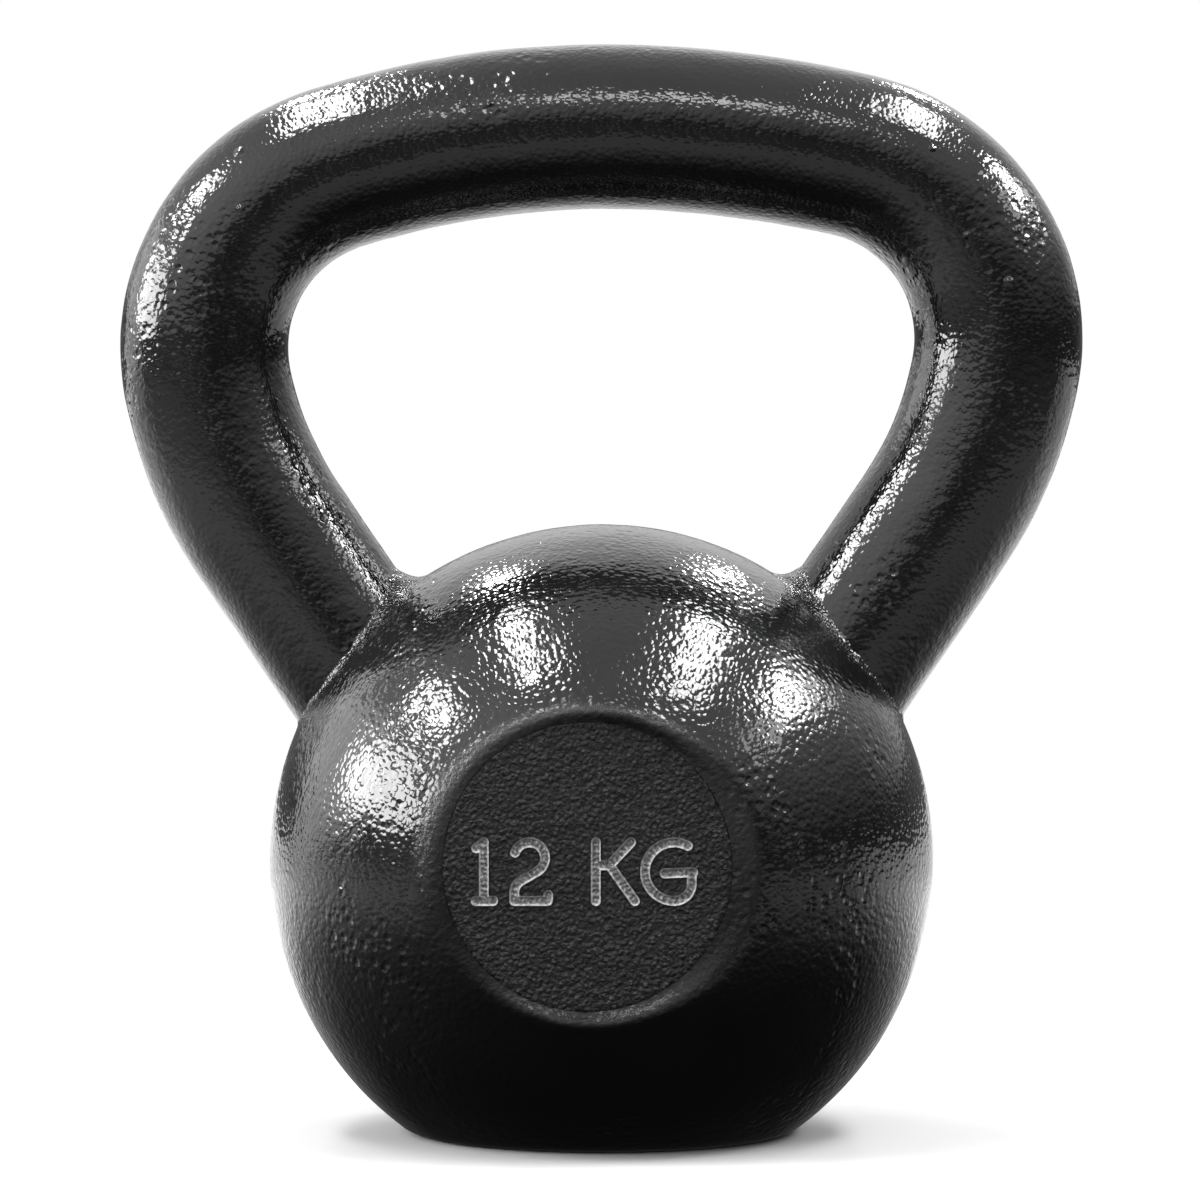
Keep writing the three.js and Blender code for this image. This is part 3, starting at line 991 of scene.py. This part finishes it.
def light_the_paper(paper):
    """Fades the floor to plain white far away, and makes it a dim, glowing table of painted light in the
    enamel's reflections.

    It shows from above only, so that the foot can be seen from below.
    """
    out = paper.distance(paper.place, (0, 0, 0))
    white = paper.nodes.new("ShaderNodeEmission")
    fading = paper.nodes.new("ShaderNodeMixShader")
    paper.link(paper.fit(out, 0.25, 1.1, 0, 1, "SMOOTHSTEP"), fading.inputs[0])
    paper.link(paper.shader.outputs[0], fading.inputs[1])
    paper.link(white.outputs[0], fading.inputs[2])
    table = paper.nodes.new("ShaderNodeEmission")
    # The table's glow is a painted shadow within 0.1 m of the middle, rises to full strength at 0.36 m and
    # falls off past 0.6 m.
    painted_shadow_and_light = paper.times(
        paper.fit(out, 0.1, 0.36, 0.03, 0.6, "SMOOTHSTEP"),
        paper.fit(out, 0.6, 0.75, 1, 0.3, "SMOOTHSTEP"),
    )
    # It glows brighter behind and to the left: painted light.
    behind = paper.fit(paper.towards(paper.place, (0, 1, 0)), -0.02, 0.25, 0, 0.9)
    painted_light_at_left = paper.fit(paper.towards(paper.place, (-1, 0, 0)), 0.05, 0.35, 0, 0.35)
    paper.link(paper.sum(painted_shadow_and_light, paper.sum(behind, painted_light_at_left)), table.inputs["Strength"])
    above = paper.seen_or_reflected(fading.outputs[0], table.outputs[0])
    side = paper.nodes.new("ShaderNodeNewGeometry").outputs["Backfacing"]
    one_sided = paper.nodes.new("ShaderNodeMixShader")
    paper.link(side, one_sided.inputs[0])
    paper.link(above, one_sided.inputs[1])
    paper.link(paper.nodes.new("ShaderNodeBsdfTransparent").outputs[0], one_sided.inputs[2])
    paper.link(one_sided.outputs[0], paper.nodes["Material Output"].inputs["Surface"])


# What the enamel reflects of the room besides the lamps: the way to the middle of each soft glow, the
# cosines at its rim and where it is full, and its strength. The room itself is dim, and dimmer still below
# the top of its skirting.
GLOWS = (
    ((0, 0, 1), 0.12, 0.6, 1.05),
    ((-0.86, -0.5, -0.03), 0.2, 1, 1.6),
    ((0, 1, 0), 0.3, 1, 0.9),
    ((0.5, -0.86, 0), 0.3, 1, 0.15),
)
ROOM = 0.2
SKIRTING_FOOT, SKIRTING_TOP, SKIRTING_SHADE = 0.12, 0.155, 0.2


def build_world():
    """White surroundings, of which the enamel reflects a dim room with a few soft glows."""
    world = bpy.data.worlds.new("studio")
    bpy.context.scene.world = world
    world.use_nodes = True
    room = Shading(world.node_tree)
    place = room.nodes.new("ShaderNodeTexCoord").outputs["Generated"]
    total = None
    for way, rim, full, strength in GLOWS:
        along = room.towards(place, Vector(way).normalized())
        glow = room.fit(along, rim, full, ROOM / len(GLOWS), strength, "SMOOTHSTEP")
        total = room.sum(total, glow) if total else glow
    height = room.towards(place, (0, 0, 1))
    skirting = room.fit(height, SKIRTING_FOOT, SKIRTING_TOP, SKIRTING_SHADE, 1, "SMOOTHSTEP")
    dim = room.nodes.new("ShaderNodeBackground")
    room.link(room.times(total, skirting), dim.inputs["Strength"])
    white = room.nodes["Background"]
    white.inputs["Color"].default_value = (1, 1, 1, 1)
    surface = room.seen_or_reflected(white.outputs[0], dim.outputs[0])
    room.link(surface, room.nodes["World Output"].inputs["Surface"])


def build_lamps():
    strength = bpy.context.scene.kettlebell_studio.lamps
    for name, (way, deep, wide, brightness) in LAMPS.items():
        lamp = bpy.data.lights.new(name + " lamp", "AREA")
        lamp.shape = "RECTANGLE"
        lamp.size = 2 * LAMP_DISTANCE * math.tan(math.radians(deep / 2))
        lamp.size_y = 2 * LAMP_DISTANCE * math.tan(math.radians(wide / 2))
        lamp.energy = brightness * math.pi * lamp.size * lamp.size_y * strength
        holder = bpy.data.objects.new(name + " lamp", lamp)
        way = Vector(way).normalized()
        holder.location = LAMP_AIM + way * LAMP_DISTANCE
        backwards = (Vector((0, 1, 0)) - way.y * way).normalized()
        holder.rotation_euler = Matrix((backwards, way.cross(backwards), way)).transposed().to_euler()
        bpy.context.scene.collection.objects.link(holder)


def build_camera():
    studio = bpy.context.scene.kettlebell_studio
    camera = bpy.data.cameras.new("camera")
    camera.sensor_width = 36
    camera.lens = camera.sensor_width * studio.camera_distance / studio.field
    camera.clip_start, camera.clip_end = 0.01, 50
    holder = bpy.data.objects.new("camera", camera)
    holder.location = (studio.camera_side, -studio.camera_distance, studio.camera_height)
    holder.rotation_euler = (math.pi / 2, 0, 0)
    bpy.context.scene.collection.objects.link(holder)
    bpy.context.scene.camera = holder


# ----------------------------------------------------------
# Add-on
# ----------------------------------------------------------


class KETTLEBELL_OT_ball(Operator):
    """Add the ball, with its foot, pocket and sockets"""

    bl_idname = "kettlebell.ball"
    bl_label = "Ball"
    bl_options = {"REGISTER", "UNDO"}

    def execute(self, context):
        build_ball()
        return {"FINISHED"}


class KETTLEBELL_OT_handle(Operator):
    """Add the bent bar handle"""

    bl_idname = "kettlebell.handle"
    bl_label = "Handle"
    bl_options = {"REGISTER", "UNDO"}

    def execute(self, context):
        build_handle()
        return {"FINISHED"}


class KETTLEBELL_OT_foot_beads(Operator):
    """Add the bead of metal round each leg's foot"""

    bl_idname = "kettlebell.foot_beads"
    bl_label = "Foot Beads"
    bl_options = {"REGISTER", "UNDO"}

    def execute(self, context):
        tone = context.scene.kettlebell_ball.enamel
        enamel = stoved_enamel("bead enamel", tone, *BEAD_PEEL).material
        build_foot_bead(-1, enamel)
        build_foot_bead(1, enamel)
        return {"FINISHED"}


class KETTLEBELL_OT_marking_plate(Operator):
    """Add the sand-cast plate that carries the figures"""

    bl_idname = "kettlebell.marking_plate"
    bl_label = "Marking Plate"
    bl_options = {"REGISTER", "UNDO"}

    def execute(self, context):
        build_marking_plate()
        return {"FINISHED"}


class KETTLEBELL_OT_figures(Operator):
    """Add the engraved figures that give the weight"""

    bl_idname = "kettlebell.figures"
    bl_label = "Figures"
    bl_options = {"REGISTER", "UNDO"}

    def execute(self, context):
        marking = context.scene.kettlebell_marking
        iron = cut_iron(marking.figure_edge_highlight, marking.figure_floor, plate_face(), marking.cut)
        for name in FIGURES:
            build_figure(name, iron)
        return {"FINISHED"}


class KETTLEBELL_OT_studio(Operator):
    """Add the floor, the lamps, the white surroundings and the camera"""

    bl_idname = "kettlebell.studio"
    bl_label = "Studio"
    bl_options = {"REGISTER", "UNDO"}

    def execute(self, context):
        light_the_paper(build_floor())
        build_world()
        build_lamps()
        build_camera()
        context.scene.view_settings.view_transform = "Standard"
        return {"FINISHED"}


OPERATORS = (
    KETTLEBELL_OT_ball,
    KETTLEBELL_OT_handle,
    KETTLEBELL_OT_foot_beads,
    KETTLEBELL_OT_marking_plate,
    KETTLEBELL_OT_figures,
    KETTLEBELL_OT_studio,
)


class KETTLEBELL_PT_sidebar(Panel):
    """Lists the kettlebell's pieces with their sizes and colours"""

    bl_label = "Kettlebell"
    bl_idname = "KETTLEBELL_PT_sidebar"
    bl_space_type = "VIEW_3D"
    bl_region_type = "UI"
    bl_category = "Kettlebell"

    def draw(self, context):
        for group in SETTINGS:
            settings = getattr(context.scene, group)
            box = self.layout.box()
            for name in settings.__annotations__:
                box.prop(settings, name)
        for operator in OPERATORS:
            self.layout.operator(operator.bl_idname)


def register():
    for cls in (*SETTINGS.values(), *OPERATORS, KETTLEBELL_PT_sidebar):
        bpy.utils.register_class(cls)
    for group, settings in SETTINGS.items():
        setattr(bpy.types.Scene, group, PointerProperty(type=settings))


def unregister():
    for group in SETTINGS:
        delattr(bpy.types.Scene, group)
    for cls in (KETTLEBELL_PT_sidebar, *reversed(OPERATORS), *SETTINGS.values()):
        bpy.utils.unregister_class(cls)


def main():
    register()
    bpy.ops.kettlebell.ball()
    bpy.ops.kettlebell.handle()
    bpy.ops.kettlebell.foot_beads()
    bpy.ops.kettlebell.marking_plate()
    bpy.ops.kettlebell.figures()
    bpy.ops.kettlebell.studio()


if __name__ == "__main__":
    main()
